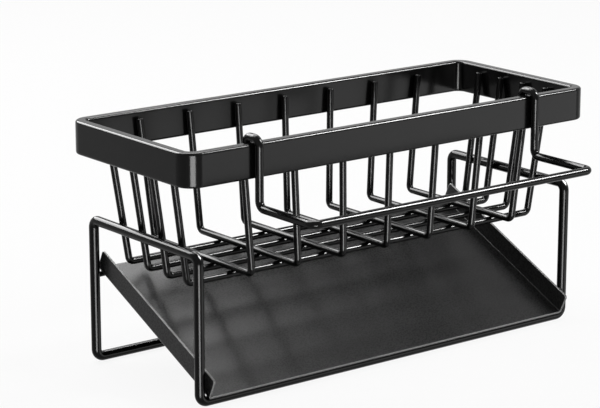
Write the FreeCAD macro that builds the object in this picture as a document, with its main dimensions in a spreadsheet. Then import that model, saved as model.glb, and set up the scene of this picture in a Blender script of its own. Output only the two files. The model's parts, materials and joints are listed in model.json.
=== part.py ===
"""Sponge holder: a wire basket standing in a bent wire stand, with a drip tray and a hook-on towel rail.

Lengths are millimetres and angles degrees. +Z is up, -Y is the front where the towel rail hangs, and
the origin is on the counter, under the middle of the basket's rim.
"""
import math
import os

import FreeCAD
import Part
import Sketcher

# How many wires the basket has each way
CROSS_WIRES = 7
LONG_WIRES = 4

# Driving sizes: name, number, what it is
SIZES = [
    ("rim_length", 230, "outside of the rim band, left to right"),
    ("rim_depth", 90, "outside of the rim band, front to back"),
    ("rim_top", 112.5, "counter to the top of the rim"),
    ("rim_height", 15.2, "height of the band"),
    ("rim_thickness", 5, "thickness of the band"),
    ("rim_corner_radius", 8, "outside of the band's corners"),
    ("rim_edge_radius", 1.2, "rounding of the band's edges"),
    ("wire_diameter", 3.2, "basket wires"),
    ("wire_bend_radius", 2.5, "basket wires, to the middle of the wire"),
    ("wire_end_radius", 0.4, "rounding of cut wire ends"),
    ("wire_drop", 3.2, "top of the rim down to the ends of the basket wires"),
    ("basket_depth", 59.5, "top of the rim down to the middle of the cross wires' bottom runs"),
    ("side_taper", 1.8, "how far each leg of a cross wire comes in on its way down"),
    ("end_taper", 9.05, "how far each leg of a long wire comes in on its way down"),
    ("cross_margin", 33.4, "end of the rim to the first cross wire, at the rim"),
    ("cross_fan_share", 0.926, "spacing of the cross wires at the bottom, as a share of that at the rim"),
    ("long_margin", 21.5, "front of the rim to the first long wire, at the rim"),
    ("long_fan_share", 0.94, "spacing of the long wires at the bottom, as a share of that at the rim"),
    ("weld_gap", 0.02, "between pieces that are welded together"),
    ("stand_wire_diameter", 4.5, "wire of the stand"),
    ("stand_inset", 5, "front of the rim to the middle of the stand's front legs"),
    ("stand_nest_depth", 16.5, "middle of the stand's top rails down to that of the long wires' bottom runs"),
    ("stand_bend_radius", 3.6, "stand, to the middle of the wire"),
    ("nest_clearance", 0.3, "basket's end wires to the stand's top rails"),
    ("tray_slope", 24.9, "fall of the tray towards the front, in degrees"),
    ("tray_sheet", 1, "sheet of the tray"),
    ("tray_bend_radius", 0.3, "inside of the tray's folds"),
    ("tray_wall_height", 10.3, "tray's side walls, over the underside of its floor"),
    ("tray_side_clearance", 0.35, "tray's walls to the stand's legs"),
    ("tray_rest_clearance", 0.2, "tray's floor to the wires that it rests on"),
    ("tray_overhang", 2.1, "tray's front edge past the wire that it rests on"),
    ("tray_corner_radius", 1.5, "rounding of the walls' top corners"),
    ("tray_lip_depth", 2.4, "lip behind the bar, below the underside of the floor"),
    ("tray_lip_clearance", 0.5, "lip to the bar that it hooks over"),
    ("tray_relief", 0.8, "slot beside each end of the lip"),
    ("tray_bar_diameter", 2.4, "bar across the back legs"),
    ("towel_wire_diameter", 3.7, "wire of the towel rail"),
    ("towel_clearance", 0.25, "hooks to the faces of the rim band"),
    ("towel_end_clearance", 0.35, "ends of the hooks to the ends of the basket wires below them"),
    ("towel_width", 158.4, "towel rail, from the middle of one arm to that of the other"),
    ("towel_hook_radius", 3.4, "bends over the rim, to the middle of the wire"),
    ("towel_bend_radius", 3.3, "other bends of the towel rail, to the middle of the wire"),
    ("towel_drop", 27.6, "top of the rim down to the middle of the arms"),
    ("towel_reach", 38.9, "front of the rim to the middle of the front bar"),
]

# Worked-out sizes: name, how it follows from the driving ones
WORKED = [
    ("rim_half_length", "Sizes.rim_length / 2"),
    ("rim_half_depth", "Sizes.rim_depth / 2"),
    ("rim_inner_length", "Worked.rim_half_length - Sizes.rim_thickness"),
    ("rim_inner_depth", "Worked.rim_half_depth - Sizes.rim_thickness"),
    ("rim_inner_radius", "Sizes.rim_corner_radius - Sizes.rim_thickness"),
    ("cross_pitch", f"(Sizes.rim_length - 2 * Sizes.cross_margin) / {CROSS_WIRES - 1}"),
    ("long_pitch", f"(Sizes.rim_depth - 2 * Sizes.long_margin) / {LONG_WIRES - 1}"),
    ("wire_top", "Sizes.rim_top - Sizes.wire_drop"),
    ("cross_z", "Sizes.rim_top - Sizes.basket_depth"),
    ("cross_rise", "Worked.wire_top - Worked.cross_z"),
    ("cross_top_y", "Worked.rim_inner_depth - Sizes.wire_diameter / 2 - Sizes.weld_gap"),
    ("cross_foot_y", "Worked.cross_top_y - Sizes.side_taper"),
    ("long_z", "Worked.cross_z - Sizes.wire_diameter - Sizes.weld_gap"),
    ("long_rise", "Worked.wire_top - Worked.long_z"),
    ("long_top_x", "Worked.rim_inner_length - Sizes.wire_diameter / 2 - Sizes.weld_gap"),
    ("long_foot_x", "Worked.long_top_x - Sizes.end_taper"),
    ("long_slant", "Sizes.end_taper / Worked.long_rise"),
    ("nest_reach", "(Sizes.wire_diameter + Sizes.stand_wire_diameter) / 2 + Sizes.nest_clearance"),
    ("nest_x", "Worked.long_foot_x + Sizes.stand_nest_depth * Worked.long_slant"),
    ("stand_x", "Worked.nest_x + Worked.nest_reach / cos(atan(Worked.long_slant))"),
    ("stand_y", "Worked.rim_half_depth - Sizes.stand_inset"),
    ("stand_rail_z", "Worked.long_z + Sizes.stand_nest_depth"),
    ("stand_foot_z", "Sizes.stand_wire_diameter / 2"),
    ("stand_joint_z", "(Worked.stand_foot_z + Worked.stand_rail_z) / 2"),
    ("tray_half_width", "Worked.stand_x - Worked.stand_foot_z - Sizes.tray_side_clearance"),
    ("tray_lift", "Worked.stand_foot_z + Sizes.tray_rest_clearance"),
    ("tray_y", "-Worked.stand_y - Worked.tray_lift * sin(Sizes.tray_slope)"),
    ("tray_z", "Worked.stand_foot_z + Worked.tray_lift * cos(Sizes.tray_slope)"),
    ("bar_drop", "Sizes.tray_bar_diameter / 2 + Sizes.tray_rest_clearance"),
    ("bar_run", "Worked.stand_y - Worked.tray_y - Worked.bar_drop * sin(Sizes.tray_slope)"),
    ("bar_along", "Worked.bar_run / cos(Sizes.tray_slope)"),
    ("bar_rise", "Worked.bar_along * sin(Sizes.tray_slope) - Worked.bar_drop * cos(Sizes.tray_slope)"),
    ("bar_half_length", "Worked.stand_x - Worked.stand_foot_z - Sizes.weld_gap"),
    ("lip_inner", "Worked.bar_along + Sizes.tray_bar_diameter / 2 + Sizes.tray_lip_clearance"),
    ("lip_outer", "Worked.lip_inner + Sizes.tray_sheet"),
    ("lip_bend", "Worked.lip_inner - Sizes.tray_bend_radius"),
    ("fold_radius", "Sizes.tray_bend_radius + Sizes.tray_sheet"),
    ("lip_slot_half", "Worked.tray_half_width - Worked.fold_radius"),
    ("lip_half", "Worked.lip_slot_half - Sizes.tray_relief"),
    ("hook_in_y", "Worked.rim_inner_depth - Sizes.towel_clearance - Sizes.towel_wire_diameter / 2"),
    ("hook_out_y", "Worked.rim_half_depth + Sizes.towel_clearance + Sizes.towel_wire_diameter / 2"),
    ("hook_top", "Sizes.rim_top + Sizes.towel_clearance + Sizes.towel_wire_diameter / 2"),
    ("hook_end", "Worked.wire_top + Sizes.towel_end_clearance"),
    ("arm_z", "Sizes.rim_top - Sizes.towel_drop"),
    ("towel_bar_y", "Worked.rim_half_depth + Sizes.towel_reach"),
    ("arm_joint_y", "(Worked.hook_out_y + Worked.towel_bar_y) / 2"),
    ("hook_x", "Sizes.towel_width / 2"),
]
# Each basket wire's place at the bottom, its outward lean and the length of its leaning legs
for wire in range(1, CROSS_WIRES + 1):
    spread = f"Worked.cross_pitch * {wire - (CROSS_WIRES + 1) / 2}"
    WORKED += [
        (f"cross_{wire}_foot", f"{spread} * Sizes.cross_fan_share"),
        (f"cross_{wire}_lean", f"atan({spread} * (1 - Sizes.cross_fan_share) / Worked.cross_rise)"),
        (f"cross_{wire}_leg", f"Worked.cross_rise / cos(Worked.cross_{wire}_lean)"),
    ]
for wire in range(1, LONG_WIRES + 1):
    spread = f"Worked.long_pitch * {wire - (LONG_WIRES + 1) / 2}"
    WORKED += [
        (f"long_{wire}_foot", f"{spread} * Sizes.long_fan_share"),
        (f"long_{wire}_lean", f"-atan({spread} * (1 - Sizes.long_fan_share) / Worked.long_rise)"),
        (f"long_{wire}_leg", f"Worked.long_rise / cos(Worked.long_{wire}_lean)"),
    ]

doc = FreeCAD.newDocument("sponge_holder")
sheet = doc.addObject("Spreadsheet::Sheet", "Sizes")
for row, (name, number, note) in enumerate(SIZES, start=1):
    sheet.set(f"A{row}", str(number))
    sheet.setAlias(f"A{row}", name)
    sheet.set(f"B{row}", note)
doc.recompute()
worked = doc.addObject("App::VarSet", "Worked")
for name, formula in WORKED:
    worked.addProperty("App::PropertyFloat", name)
    worked.setExpression(name, formula)
doc.recompute()

# A place in a sketch is a pair of size names, "-" in front for the negative side, None on the axis
ORIGIN = (-1, 1)
ACROSS, UPRIGHT = -1, -2
# A sketch counts the points of each line and arc in this order, from 1
START, END, CENTRE = range(1, 4)
# Two points closer than this are one and the same
SAME = 1e-6


def value(name):
    """Number behind a size name, 0 for None."""
    if name is None:
        return 0.0
    holder, alias = name.lstrip("-").split(".")
    number = float(getattr(doc.getObject(holder), alias))
    return -number if name.startswith("-") else number


def point(place):
    """Place in a sketch as a vector."""
    return FreeCAD.Vector(value(place[0]), value(place[1]), 0)


def bind(sketch, kind, where, name):
    """Add a dimension to a sketch and tie it to a size name."""
    index = sketch.addConstraint(Sketcher.Constraint(kind, *where, value(name)))
    sketch.setExpression(f"Constraints[{index}]", name)


def hold(sketch, geometry, vertex, place):
    """Hold a vertex of a sketch at a place."""
    for name, kind, axis in zip(place, ("DistanceX", "DistanceY"), (UPRIGHT, ACROSS)):
        if name is None:
            sketch.addConstraint(Sketcher.Constraint("PointOnObject", geometry, vertex, axis))
        elif name.startswith("-"):
            bind(sketch, kind, (geometry, vertex, *ORIGIN), name.lstrip("-"))
        else:
            bind(sketch, kind, (*ORIGIN, geometry, vertex), name)


def add_sketch(body, name, plane, offset=None):
    """Empty sketch on one of a body's origin planes, moved along the plane's normal by a size name."""
    sketch = body.newObject("Sketcher::SketchObject", name)
    origin = {feature.Role: feature for feature in body.Origin.OriginFeatures}
    sketch.AttachmentSupport = [(origin[plane], "")]
    sketch.MapMode = "FlatFace"
    if offset:
        sketch.setExpression("AttachmentOffset.Base.z", offset)
    return sketch


def add_rectangle(sketch, low, high):
    """Rectangle between two opposite places."""
    corners = [low, (high[0], low[1]), high, (low[0], high[1])]
    sides = []
    for one, other in zip(corners, corners[1:] + corners[:1]):
        sides.append(sketch.addGeometry(Part.LineSegment(point(one), point(other))))
    for side, following in zip(sides, sides[1:] + sides[:1]):
        sketch.addConstraint(Sketcher.Constraint("Coincident", side, END, following, START))
    for side, kind in zip(sides, ("Horizontal", "Vertical", "Horizontal", "Vertical")):
        sketch.addConstraint(Sketcher.Constraint(kind, side))
    hold(sketch, sides[0], START, low)
    hold(sketch, sides[2], START, high)


def add_path(sketch, places, radii):
    """Straight runs from place to place with a tangent bend at each place between the two ends."""
    points = [point(place) for place in places]
    starts, ends, bends = [points[0]], [], []
    for before, corner, after, radius in zip(points, points[1:], points[2:], radii):
        back, on = (before - corner).normalize(), (after - corner).normalize()
        half = back.getAngle(on) / 2
        centre = corner + (back + on).normalize() * (value(radius) / math.sin(half))
        ends.append(corner + back * (value(radius) / math.tan(half)))
        starts.append(corner + on * (value(radius) / math.tan(half)))
        bends.append((centre, (corner - before).cross(after - corner).z > 0))
    ends.append(points[-1])
    for start, end in zip(starts, ends):
        sketch.addGeometry(Part.LineSegment(start, end))
    for run, ((centre, left), radius) in enumerate(zip(bends, radii)):
        first, last = (ends[run], starts[run + 1]) if left else (starts[run + 1], ends[run])
        angles = [math.atan2(tip.y - centre.y, tip.x - centre.x) for tip in (first, last)]
        circle = Part.Circle(centre, FreeCAD.Vector(0, 0, 1), value(radius))
        arc = sketch.addGeometry(Part.ArcOfCircle(circle, *angles))
        tips = (START, END) if left else (END, START)
        sketch.addConstraint(Sketcher.Constraint("Tangent", run, END, arc, tips[0]))
        sketch.addConstraint(Sketcher.Constraint("Tangent", run + 1, START, arc, tips[1]))
        bind(sketch, "Radius", (arc,), radius)
        corner = sketch.addGeometry(Part.Point(points[run + 1]), True)
        sketch.addConstraint(Sketcher.Constraint("PointOnObject", corner, START, run))
        sketch.addConstraint(Sketcher.Constraint("PointOnObject", corner, START, run + 1))
        hold(sketch, corner, START, places[run + 1])
    hold(sketch, 0, START, places[0])
    hold(sketch, len(starts) - 1, END, places[-1])


def add_wire(body, name, plane, offset, places, radii, diameter):
    """Round wire swept along a flat path; gives the path."""
    path = add_sketch(body, f"{name}_path", plane, offset)
    add_path(path, places, radii)
    doc.recompute()
    section = body.newObject("Sketcher::SketchObject", f"{name}_section")
    section.AttachmentSupport = [(path, "Edge1")]
    section.MapMode = "NormalToEdge"
    section.addGeometry(Part.Circle(FreeCAD.Vector(), FreeCAD.Vector(0, 0, 1), value(diameter) / 2))
    section.addConstraint(Sketcher.Constraint("Coincident", 0, CENTRE, *ORIGIN))
    bind(section, "Diameter", (0,), diameter)
    sweep = body.newObject("PartDesign::AdditivePipe", f"{name}_sweep")
    sweep.Profile = section
    sweep.Spine = (path, [])
    doc.recompute()
    return path


def round_edges(body, name, radius, wanted):
    """Round the edges of a body's last feature that the test picks out."""
    edges = [f"Edge{number}" for number, edge in enumerate(body.Tip.Shape.Edges, start=1) if wanted(edge)]
    fillet = body.newObject("PartDesign::Fillet", name)
    fillet.Base = (body.Group[-2], edges)
    fillet.setExpression("Radius", radius)
    doc.recompute()


def round_ends(body, name, path, places):
    """Round the cut ends of a wire, given the path that the ends are on."""
    tips = [path.Placement.multVec(point(place)) for place in places]

    def at_tip(edge):
        """True for the circle round a cut end."""
        if not isinstance(edge.Curve, Part.Circle):
            return False
        return min(edge.Curve.Center.distanceToPoint(tip) for tip in tips) < SAME

    round_edges(body, name, "Sizes.wire_end_radius", at_tip)


def place(body, base, axis=(0, 0, 1), angle="0"):
    """Put a piece at three coordinates, turned about an axis through them."""
    turn = "rotation(vector({}; {}; {}); {})".format(*axis, angle)
    body.setExpression("Placement", "placement(vector({}; {}; {}); {})".format(*base, turn))


def add_piece(label):
    """Empty body with the name of a piece."""
    body = doc.addObject("PartDesign::Body", label)
    body.Label = label
    pieces.append(body)
    return body


def add_pad(body, name, sketch, length, downwards=False):
    """Pad of a sketch along its normal, or against it."""
    pad = body.newObject("PartDesign::Pad", name)
    pad.Profile = sketch
    pad.setExpression("Length", length)
    pad.Reversed = downwards
    doc.recompute()


def along(edge, direction):
    """True for a straight edge along a direction."""
    if not isinstance(edge.Curve, Part.Line):
        return False
    return edge.Curve.Direction.cross(FreeCAD.Vector(*direction)).Length < SAME


def is_level(edge):
    """True for an edge that stays at one height."""
    return edge.BoundBox.ZLength < SAME


pieces = []

# Rim band: a flat strip bent round into a rectangle, standing on edge
rim = add_piece("rim_band")
outline = add_sketch(rim, "rim_outline", "XY_Plane")
add_rectangle(
    outline,
    ("-Worked.rim_half_length", "-Worked.rim_half_depth"),
    ("Worked.rim_half_length", "Worked.rim_half_depth"),
)
add_pad(rim, "rim_block", outline, "Sizes.rim_height")
round_edges(rim, "rim_corners", "Sizes.rim_corner_radius", lambda edge: along(edge, (0, 0, 1)))
corners_volume = rim.Tip.Shape.Volume
opening = add_sketch(rim, "rim_opening", "XY_Plane")
add_rectangle(
    opening,
    ("-Worked.rim_inner_length", "-Worked.rim_inner_depth"),
    ("Worked.rim_inner_length", "Worked.rim_inner_depth"),
)
cut = rim.newObject("PartDesign::Pocket", "rim_cut")
cut.Profile = opening
cut.Type = "ThroughAll"
cut.Reversed = True
doc.recompute()
if not cut.Shape.Volume < corners_volume:
    raise RuntimeError("the rim's opening was not cut")


def is_inner_corner(edge):
    """True for an upright edge in a corner of the rim's opening."""
    middle = edge.BoundBox.Center
    inside_length = abs(middle.x) < value("Worked.rim_inner_length") + SAME
    inside_depth = abs(middle.y) < value("Worked.rim_inner_depth") + SAME
    return along(edge, (0, 0, 1)) and inside_length and inside_depth


round_edges(rim, "rim_inner_corners", "Worked.rim_inner_radius", is_inner_corner)
round_edges(rim, "rim_edges", "Sizes.rim_edge_radius", is_level)
place(rim, (0, 0, "Sizes.rim_top - Sizes.rim_height"))

# Cross wires: front to back under the basket, welded inside the band's long sides
for wire in range(1, CROSS_WIRES + 1):
    body = add_piece(f"cross_wire_{wire}")
    leg = f"Worked.cross_{wire}_leg"
    places = [
        ("-Worked.cross_top_y", leg),
        ("-Worked.cross_foot_y", None),
        ("Worked.cross_foot_y", None),
        ("Worked.cross_top_y", leg),
    ]
    bends = ["Sizes.wire_bend_radius"] * 2
    path = add_wire(body, f"cross_{wire}", "YZ_Plane", None, places, bends, "Sizes.wire_diameter")
    round_ends(body, f"cross_{wire}_ends", path, (places[0], places[-1]))
    lean = f"Worked.cross_{wire}_lean"
    place(body, (f"Worked.cross_{wire}_foot", 0, "Worked.cross_z"), (0, 1, 0), lean)

# Long wires: left to right below the cross wires, welded inside the band's ends
for wire in range(1, LONG_WIRES + 1):
    body = add_piece(f"long_wire_{wire}")
    leg = f"Worked.long_{wire}_leg"
    places = [
        ("-Worked.long_top_x", leg),
        ("-Worked.long_foot_x", None),
        ("Worked.long_foot_x", None),
        ("Worked.long_top_x", leg),
    ]
    bends = ["Sizes.wire_bend_radius"] * 2
    path = add_wire(body, f"long_{wire}", "XZ_Plane", None, places, bends, "Sizes.wire_diameter")
    round_ends(body, f"long_{wire}_ends", path, (places[0], places[-1]))
    lean = f"Worked.long_{wire}_lean"
    place(body, (0, f"Worked.long_{wire}_foot", "Worked.long_z"), (1, 0, 0), lean)

# Stand: one wire bent into a closed loop, along the counter in front and behind, over the top at the ends
stand = add_piece("stand_frame")
bends = ["Sizes.stand_bend_radius"] * 2
foot_places = [
    ("-Worked.stand_x", "Worked.stand_joint_z"),
    ("-Worked.stand_x", "Worked.stand_foot_z"),
    ("Worked.stand_x", "Worked.stand_foot_z"),
    ("Worked.stand_x", "Worked.stand_joint_z"),
]
rail_places = [
    ("-Worked.stand_y", "Worked.stand_joint_z"),
    ("-Worked.stand_y", "Worked.stand_rail_z"),
    ("Worked.stand_y", "Worked.stand_rail_z"),
    ("Worked.stand_y", "Worked.stand_joint_z"),
]
for side, plane, offset, places in (
    ("front", "XZ_Plane", "Worked.stand_y", foot_places),
    ("back", "XZ_Plane", "-Worked.stand_y", foot_places),
    ("left", "YZ_Plane", "-Worked.stand_x", rail_places),
    ("right", "YZ_Plane", "Worked.stand_x", rail_places),
):
    add_wire(stand, f"stand_{side}", plane, offset, places, bends, "Sizes.stand_wire_diameter")

# Tray bar: a straight wire welded between the back legs, which holds up the back of the tray
bar = doc.addObject("Part::Cylinder", "tray_bar")
bar.Label = "tray_bar"
bar.setExpression("Radius", "Sizes.tray_bar_diameter / 2")
bar.setExpression("Height", "2 * Worked.bar_half_length")
bar_base = ("-Worked.bar_half_length", "Worked.stand_y", "Worked.tray_z + Worked.bar_rise")
place(bar, bar_base, (0, 1, 0), "90")
pieces.append(bar)

# Drip tray: a folded sheet with two side walls, open in front, hooked over the bar by its back lip
tray = add_piece("drip_tray")
plan = add_sketch(tray, "tray_plan", "XY_Plane")
add_rectangle(
    plan,
    ("-Worked.tray_half_width", "-Sizes.tray_overhang"),
    ("Worked.tray_half_width", "Worked.lip_outer"),
)
add_pad(tray, "tray_block", plan, "Sizes.tray_wall_height")


def is_fold(edge):
    """True for a lower edge of the tray that a side wall is folded up from."""
    return along(edge, (0, 1, 0)) and edge.BoundBox.ZMax < SAME


round_edges(tray, "tray_folds", "Worked.fold_radius", is_fold)
openings = []
for number, face in enumerate(tray.Tip.Shape.Faces, start=1):
    normal = face.normalAt(0, 0)
    if abs(normal.y) > 1 - SAME or normal.z > 1 - SAME:
        openings.append(f"Face{number}")
shell = tray.newObject("PartDesign::Thickness", "tray_shell")
shell.Base = (tray.Group[-2], openings)
shell.setExpression("Value", "Sizes.tray_sheet")
shell.Reversed = True
doc.recompute()
shell_volume = shell.Shape.Volume
slots = add_sketch(tray, "tray_slots", "XY_Plane")
add_rectangle(
    slots,
    ("-Worked.lip_slot_half", "Worked.lip_bend"),
    ("-Worked.lip_half", "Worked.lip_outer"),
)
add_rectangle(
    slots,
    ("Worked.lip_half", "Worked.lip_bend"),
    ("Worked.lip_slot_half", "Worked.lip_outer"),
)
slots_cut = tray.newObject("PartDesign::Pocket", "tray_slots_cut")
slots_cut.Profile = slots
slots_cut.setExpression("Length", "Sizes.tray_sheet")
slots_cut.Reversed = True
doc.recompute()
if not slots_cut.Shape.Volume < shell_volume:
    raise RuntimeError("the slots beside the lip were not cut")
lip = add_sketch(tray, "tray_lip", "XY_Plane")
add_rectangle(lip, ("-Worked.lip_half", "Worked.lip_inner"), ("Worked.lip_half", "Worked.lip_outer"))
add_pad(tray, "tray_lip_pad", lip, "Sizes.tray_lip_depth", True)


def is_lip_edge(edge, across, height):
    """True for the edge along the lip at a distance from the tray's front and a height."""
    middle = edge.BoundBox.Center
    near = abs(middle.x) < SAME and abs(middle.y - value(across)) < SAME
    return near and along(edge, (1, 0, 0)) and abs(middle.z - value(height)) < SAME


def is_wall_corner(edge):
    """True for a top corner at either end of a side wall."""
    return along(edge, (1, 0, 0)) and edge.BoundBox.ZMin > value("Sizes.tray_wall_height") - SAME


round_edges(
    tray, "tray_lip_outside", "Worked.fold_radius",
    lambda edge: is_lip_edge(edge, "Worked.lip_outer", "Sizes.tray_sheet"),
)
round_edges(
    tray, "tray_lip_inside", "Sizes.tray_bend_radius",
    lambda edge: is_lip_edge(edge, "Worked.lip_inner", None),
)
round_edges(tray, "tray_wall_corners", "Sizes.tray_corner_radius", is_wall_corner)
place(tray, (0, "Worked.tray_y", "Worked.tray_z"), (1, 0, 0), "Sizes.tray_slope")

# Towel rail: one wire with a hook over the rim at both ends, two arms forward and a bar between them
towel = add_piece("towel_rail")
hook_places = [
    ("-Worked.hook_in_y", "Worked.hook_end"),
    ("-Worked.hook_in_y", "Worked.hook_top"),
    ("-Worked.hook_out_y", "Worked.hook_top"),
    ("-Worked.hook_out_y", "Worked.arm_z"),
    ("-Worked.arm_joint_y", "Worked.arm_z"),
]
hook_bends = ["Sizes.towel_hook_radius", "Sizes.towel_hook_radius", "Sizes.towel_bend_radius"]
bar_places = [
    ("-Worked.hook_x", "-Worked.arm_joint_y"),
    ("-Worked.hook_x", "-Worked.towel_bar_y"),
    ("Worked.hook_x", "-Worked.towel_bar_y"),
    ("Worked.hook_x", "-Worked.arm_joint_y"),
]
bar_bends = ["Sizes.towel_bend_radius"] * 2
wire_size = "Sizes.towel_wire_diameter"
left = add_wire(towel, "towel_left", "YZ_Plane", "-Worked.hook_x", hook_places, hook_bends, wire_size)
add_wire(towel, "towel_bar", "XY_Plane", "Worked.arm_z", bar_places, bar_bends, wire_size)
right = add_wire(towel, "towel_right", "YZ_Plane", "Worked.hook_x", hook_places, hook_bends, wire_size)
for side, path in (("left", left), ("right", right)):
    round_ends(towel, f"towel_{side}_end", path, hook_places[:1])

# Check every object, then write each piece to a file of its own
doc.recompute()
for item in doc.Objects:
    if "Invalid" in item.State or "Error" in item.State:
        raise RuntimeError(f"{item.Name} did not come out: {item.State}")
os.makedirs("parts", exist_ok=True)
for piece in pieces:
    if piece.Shape.isNull() or not piece.Shape.isValid() or len(piece.Shape.Solids) != 1:
        raise RuntimeError(f"{piece.Label} is not one valid solid")
    piece.Shape.exportStep(f"parts/{piece.Label}.step")
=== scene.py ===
"""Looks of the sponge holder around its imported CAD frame: coats, studio light and camera."""
import json
import math

import bpy
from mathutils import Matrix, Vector

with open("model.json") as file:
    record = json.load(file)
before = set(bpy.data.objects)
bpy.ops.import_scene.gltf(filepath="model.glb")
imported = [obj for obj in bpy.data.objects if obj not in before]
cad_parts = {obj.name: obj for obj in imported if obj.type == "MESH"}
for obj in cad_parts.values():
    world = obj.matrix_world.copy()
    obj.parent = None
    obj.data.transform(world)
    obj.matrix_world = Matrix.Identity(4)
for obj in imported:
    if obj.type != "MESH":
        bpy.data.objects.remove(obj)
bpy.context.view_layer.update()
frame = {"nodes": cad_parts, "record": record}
scene = bpy.context.scene
scene.view_settings.view_transform = "Standard"

# Camera of the photograph: angles in degrees, lengths in metres, lens and sensor in millimetres
AZIMUTH = -37.903
ELEVATION = 14.32
DISTANCE = 0.93163
TARGET = Vector((-0.10931, -0.11355, 0.10482))
LENS = 143.054
SENSOR = 36

# Coats: colour, roughness, specular level, depth of the grain in metres
COATS = {
    "rim_paint": (0.005, 0.16, 0.09, 3e-6),
    "basket_paint": (0.004, 0.16, 0.09, 2e-6),
    "stand_paint": (0.003, 0.16, 0.08, 2e-6),
    "tray_paint": (0.015, 0.28, 0.13, 2e-6),
    "towel_rail_paint": (0.004, 0.15, 0.09, 2e-6),
}
# Coat on the rounded edges of the tray's sheet: a lighter colour as a painted highlight along the edges,
# with a glossier finish
SHEET_EDGE_PAINTED_HIGHLIGHT = (0.12, 0.4, 0.5, 2e-6)
# Grain and clouding of the coats: noise scales per metre, octaves of detail, the span of noise in use, and
# how far the colour and the roughness swing, as shares of the coat's own values
GRAIN_SCALE = 1400
GRAIN_DETAIL = 3
CLOUD_SCALE = 45
CLOUD_DETAIL = 4
NOISE_LOW, NOISE_HIGH = 0.3, 0.7
CLOUD_SHARE = 0.22
ROUGHNESS_SHARE = 0.16
# Lighter edges, part wear and part painted highlight: reach in metres, samples, the cosines between the
# surface and its rounded form at which the lightening starts and is full, and the lighter colour as a
# multiple of the coat's own
EDGE_RADIUS = 0.0007
EDGE_SAMPLES = 4
EDGE_START, EDGE_FULL = 0.995, 0.93
EDGE_WEAR_AND_HIGHLIGHT_SHARE = 4

# Rounding of the tray's sheet edges, and the distance at which two points are one, in metres
SHEET_ROUNDING = 0.0004
ROUNDING_SEGMENTS = 4
SAME_POINT = 1e-6
# Faces that meet at less than the first angle are one plane, edges over the second angle are rounded
FLAT_ANGLE = math.radians(0.2)
SHARP_ANGLE = math.radians(40)

# Lamps: azimuth and elevation in degrees, distance, width and height in metres, then the radiance
# that lights the coats themselves and the radiance that shows in their gloss
LIT_POINT = Vector((0, 0, 0.06))
LAMPS = {
    "key": (53, 41, 1.2, 0.24, 0.36, 18, 160),
    "overhead": (176, 60, 1.32, 1.46, 0.75, 2.4, 13),
    "back": (-164, 36, 1.3, 0.9, 0.62, 2.0, 20),
    "kicker": (68, 50, 1.2, 0.8, 0.8, 0, 120),
    "front": (40, -13.5, 2.0, 1.15, 0.7, 0, 2.5),
    "streak": (-28, -14, 2.0, 1.0, 0.9, 0, 28),
}
# Watts that give a box of one square metre a radiance of 1
WATTS_PER_RADIANCE = 4
# Nodes that mirror a lamp, where flags keep it off the others
MIRRORED_BY = {
    "key": [name for name in frame["nodes"] if name != "drip_tray"],
    "kicker": ["stand_frame"],
}
# How far the box in the gloss stands in front of the box that lights the coats, in metres
GLOSS_LEAD = 0.03

# Floor and world: size in metres, grey of the floor, the share of white that the background rays see in it,
# and the strength of the world's light on the object
FLOOR_SIZE = 8
FLOOR_COLOUR = 0.8
FLOOR_GLOW_SHARE = 0.9
FILL = 0.2
WHITE = (1, 1, 1, 1)


def direction(azimuth, elevation):
    """Unit vector towards an azimuth and an elevation; azimuth 0 is the front."""
    turn, tilt = math.radians(azimuth), math.radians(elevation)
    return Vector((math.sin(turn) * math.cos(tilt), -math.cos(turn) * math.cos(tilt), math.sin(tilt)))


def make_camera():
    """Camera at the photograph's viewing angle."""
    back = direction(AZIMUTH, ELEVATION)
    camera = bpy.data.objects.new("camera", bpy.data.cameras.new("camera"))
    camera.data.lens = LENS
    camera.data.sensor_width = SENSOR
    camera.location = TARGET + back * DISTANCE
    camera.rotation_mode = "QUATERNION"
    camera.rotation_quaternion = (-back).to_track_quat("-Z", "Y")
    scene.collection.objects.link(camera)
    scene.camera = camera


def add_node(tree, kind, inputs=(), **settings):
    """Node with its settings; an input is a value or the socket that feeds it."""
    node = tree.nodes.new(kind)
    for name, setting in settings.items():
        setattr(node, name, setting)
    for name, given in dict(inputs).items():
        if isinstance(given, bpy.types.NodeSocket):
            tree.links.new(given, node.inputs[name])
        else:
            node.inputs[name].default_value = given
    return node


def background_rays(tree):
    """Socket that is 1 for the rays that show the background: camera, glossy and transmission rays."""
    path = add_node(tree, "ShaderNodeLightPath").outputs
    either = add_node(tree, "ShaderNodeMath", {
        0: path["Is Camera Ray"], 1: path["Is Glossy Ray"],
    }, operation="MAXIMUM")
    every = add_node(tree, "ShaderNodeMath", {
        0: either.outputs[0], 1: path["Is Transmission Ray"],
    }, operation="MAXIMUM")
    return every.outputs[0]


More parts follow.
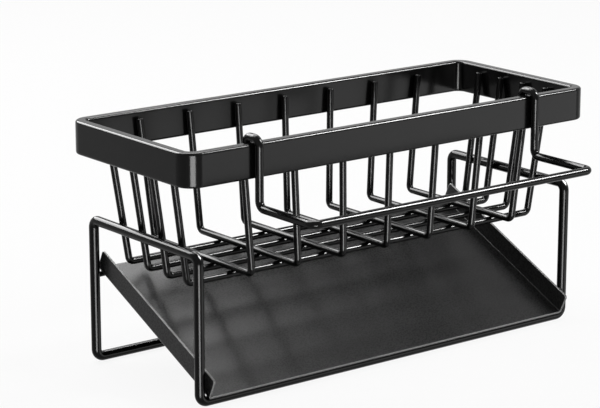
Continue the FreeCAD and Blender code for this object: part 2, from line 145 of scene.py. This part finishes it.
def make_coat(name, colour, roughness, specular, grain):
    """Black coat on steel: fine grain, slight clouding, and lighter edges, part wear and part painted
    highlight.
    """
    material = bpy.data.materials.new(name)
    material.use_nodes = True
    tree = material.node_tree
    shader = tree.nodes["Principled BSDF"]
    shader.inputs["Specular IOR Level"].default_value = specular
    place = add_node(tree, "ShaderNodeTexCoord").outputs["Object"]
    cloud = add_node(tree, "ShaderNodeTexNoise", {
        "Vector": place, "Scale": CLOUD_SCALE, "Detail": CLOUD_DETAIL,
    })
    fine = add_node(tree, "ShaderNodeTexNoise", {
        "Vector": place, "Scale": GRAIN_SCALE, "Detail": GRAIN_DETAIL,
    })
    rounded = add_node(tree, "ShaderNodeBevel", {"Radius": EDGE_RADIUS}, samples=EDGE_SAMPLES)
    flat = add_node(tree, "ShaderNodeNewGeometry").outputs["Normal"]
    meeting = add_node(tree, "ShaderNodeVectorMath", {
        0: rounded.outputs[0], 1: flat,
    }, operation="DOT_PRODUCT")
    edge = add_node(tree, "ShaderNodeMapRange", {
        "Value": meeting.outputs["Value"], "From Min": EDGE_START, "From Max": EDGE_FULL,
        "To Min": 0, "To Max": 1,
    })
    tones = add_node(tree, "ShaderNodeMapRange", {
        "Value": cloud.outputs["Fac"], "From Min": NOISE_LOW, "From Max": NOISE_HIGH,
        "To Min": colour * (1 - CLOUD_SHARE), "To Max": colour * (1 + CLOUD_SHARE),
    })
    # Lighter edges: part wear, part painted highlight
    wear_and_painted_highlight = add_node(tree, "ShaderNodeMix", {
        "Factor": edge.outputs["Result"], "A": tones.outputs["Result"], "B": colour * EDGE_WEAR_AND_HIGHLIGHT_SHARE,
    }, data_type="FLOAT")
    tree.links.new(wear_and_painted_highlight.outputs["Result"], shader.inputs["Base Color"])
    gloss = add_node(tree, "ShaderNodeMapRange", {
        "Value": fine.outputs["Fac"], "From Min": NOISE_LOW, "From Max": NOISE_HIGH,
        "To Min": roughness * (1 - ROUGHNESS_SHARE), "To Max": roughness * (1 + ROUGHNESS_SHARE),
    })
    tree.links.new(gloss.outputs["Result"], shader.inputs["Roughness"])
    bump = add_node(tree, "ShaderNodeBump", {
        "Height": fine.outputs["Fac"], "Strength": 1, "Distance": grain,
    })
    tree.links.new(bump.outputs["Normal"], shader.inputs["Normal"])
    return material


def coat_nodes():
    """Give every CAD node the coat of its material slot."""
    coats = {slot: make_coat(slot, *settings) for slot, settings in COATS.items()}
    for part in frame["record"]["subparts"]:
        node = frame["nodes"][part["node"]]
        node.data.materials.clear()
        node.data.materials.append(coats[part["material_slot"]])


def round_sheet(node):
    """Round the cut edges of a folded sheet and give them a lighter coat, a painted highlight along the
    edges.
    """
    weld = node.modifiers.new("weld", "WELD")
    weld.merge_threshold = SAME_POINT
    flat = node.modifiers.new("flat", "DECIMATE")
    flat.decimate_type = "DISSOLVE"
    flat.angle_limit = FLAT_ANGLE
    bevel = node.modifiers.new("rounding", "BEVEL")
    bevel.width = SHEET_ROUNDING
    bevel.segments = ROUNDING_SEGMENTS
    bevel.use_clamp_overlap = False
    bevel.limit_method = "ANGLE"
    bevel.angle_limit = SHARP_ANGLE
    bevel.harden_normals = True
    # The rounded faces take the lighter coat, a painted highlight along the tray's edges
    bevel.material = len(node.data.materials)
    node.data.materials.append(make_coat("sheet_edge_painted_highlight", *SHEET_EDGE_PAINTED_HIGHLIGHT))
    joined = node.modifiers.new("joined", "WELD")
    joined.merge_threshold = SAME_POINT


def make_floor():
    """Pale floor that the background rays see as white, with the shadow of the object on it."""
    half = FLOOR_SIZE / 2
    corners = [(-half, -half, 0), (half, -half, 0), (half, half, 0), (-half, half, 0)]
    mesh = bpy.data.meshes.new("floor")
    mesh.from_pydata(corners, [], [(0, 1, 2, 3)])
    floor = bpy.data.objects.new("floor", mesh)
    scene.collection.objects.link(floor)
    material = bpy.data.materials.new("floor")
    material.use_nodes = True
    tree = material.node_tree
    tree.nodes.clear()
    grey = (FLOOR_COLOUR, FLOOR_COLOUR, FLOOR_COLOUR, 1)
    pale = add_node(tree, "ShaderNodeBsdfDiffuse", {"Color": grey})
    glow = add_node(tree, "ShaderNodeEmission", {"Color": WHITE, "Strength": 1})
    share = add_node(tree, "ShaderNodeMath", {
        0: background_rays(tree), 1: FLOOR_GLOW_SHARE,
    }, operation="MULTIPLY")
    mixed = add_node(tree, "ShaderNodeMixShader", {
        0: share.outputs[0], 1: pale.outputs[0], 2: glow.outputs[0],
    })
    add_node(tree, "ShaderNodeOutputMaterial", {"Surface": mixed.outputs[0]})
    mesh.materials.append(material)
    # The gloss of the object shows the white world and the lamps in place of the floor
    floor.visible_glossy = False
    floor.visible_shadow = False


def make_world():
    """White background, with a weaker fill for the light that it gives."""
    world = bpy.data.worlds.new("studio")
    scene.world = world
    world.use_nodes = True
    tree = world.node_tree
    strength = add_node(tree, "ShaderNodeMapRange", {
        "Value": background_rays(tree), "To Min": FILL, "To Max": 1,
    })
    background = tree.nodes["Background"]
    background.inputs["Color"].default_value = WHITE
    tree.links.new(strength.outputs["Result"], background.inputs["Strength"])


def make_lamp(name, azimuth, elevation, distance, width, height, radiance, in_gloss):
    """Soft box that faces the object and that either only the coats or only their gloss see."""
    distance -= GLOSS_LEAD if in_gloss else 0
    data = bpy.data.lights.new(name, "AREA")
    data.shape = "RECTANGLE"
    data.size = width
    data.size_y = height
    data.energy = WATTS_PER_RADIANCE * width * height * radiance
    lamp = bpy.data.objects.new(name, data)
    outward = direction(azimuth, elevation)
    lamp.location = LIT_POINT + outward * distance
    lamp.rotation_mode = "QUATERNION"
    lamp.rotation_quaternion = outward.to_track_quat("Z", "Y")
    lamp.visible_camera = False
    lamp.visible_diffuse = not in_gloss
    lamp.visible_glossy = in_gloss
    scene.collection.objects.link(lamp)
    return lamp


def flag(lamp, names):
    """Let only the named nodes mirror a lamp, as flags in front of it do in a studio."""
    lit = bpy.data.collections.new(f"{lamp.name}_lit")
    for name in names:
        lit.objects.link(frame["nodes"][name])
    lamp.light_linking.receiver_collection = lit


def make_lamps():
    """Soft boxes round the object."""
    for name, (*setting, in_coat, in_gloss) in LAMPS.items():
        if in_coat:
            make_lamp(f"{name}_light", *setting, in_coat, False)
        if in_gloss:
            lamp = make_lamp(f"{name}_gloss", *setting, in_gloss, True)
            if name in MIRRORED_BY:
                flag(lamp, MIRRORED_BY[name])


make_camera()
coat_nodes()
round_sheet(frame["nodes"]["drip_tray"])
make_floor()
make_world()
make_lamps()
